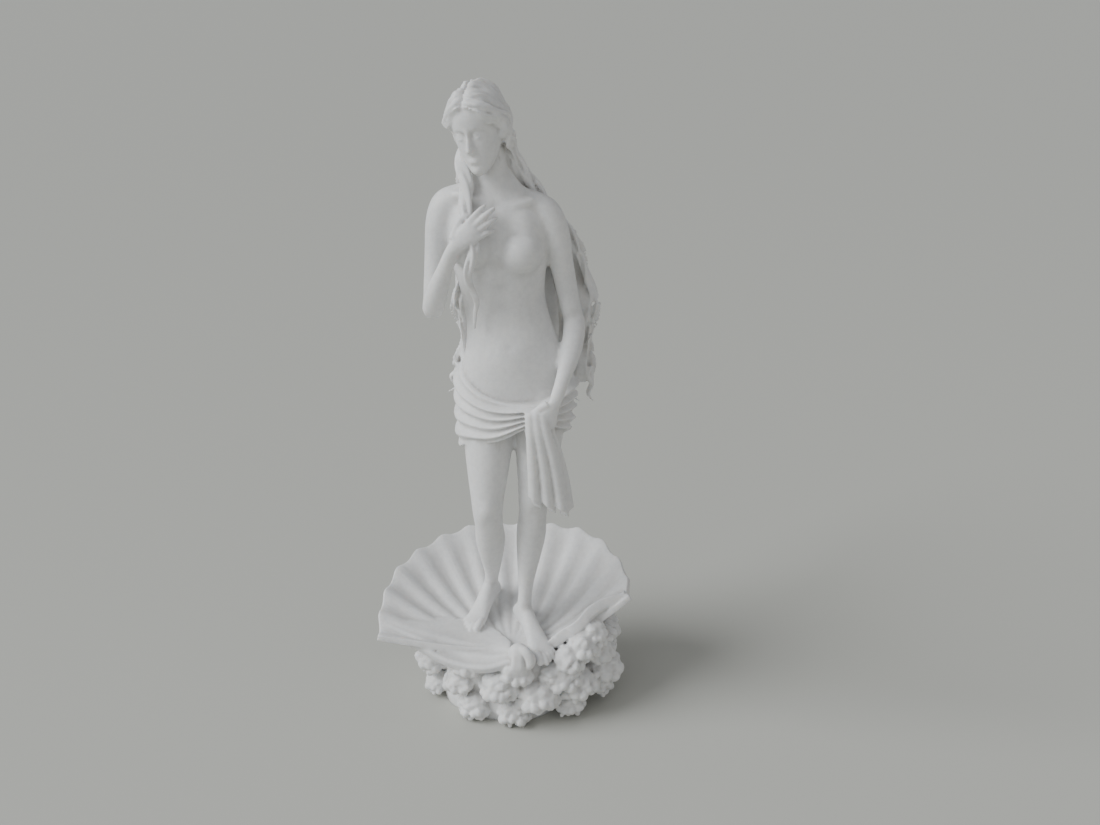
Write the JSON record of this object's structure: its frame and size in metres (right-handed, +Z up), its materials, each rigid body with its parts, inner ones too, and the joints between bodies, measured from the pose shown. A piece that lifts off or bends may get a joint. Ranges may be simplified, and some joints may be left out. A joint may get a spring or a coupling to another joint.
{
  "type": "goddess statuette",
  "caption": "Standing classical goddess statuette with long hair and a hip cloth, cast in one with an open scallop shell on a mound of sea foam.",
  "frame": {"origin": "middle of the flat underside of the base, on the surface it stands on", "axes": "+Z up the figure, -Y the way she faces, +X to her left"},
  "size_m": [0.1183, 0.0842, 0.2829],
  "materials": {
    "marble_resin": "white cold-cast marble resin, matt to satin"
  },
  "bodies": {
    "root": {"aphrodite_statuette": "marble_resin"}
  },
  "joints": []
}
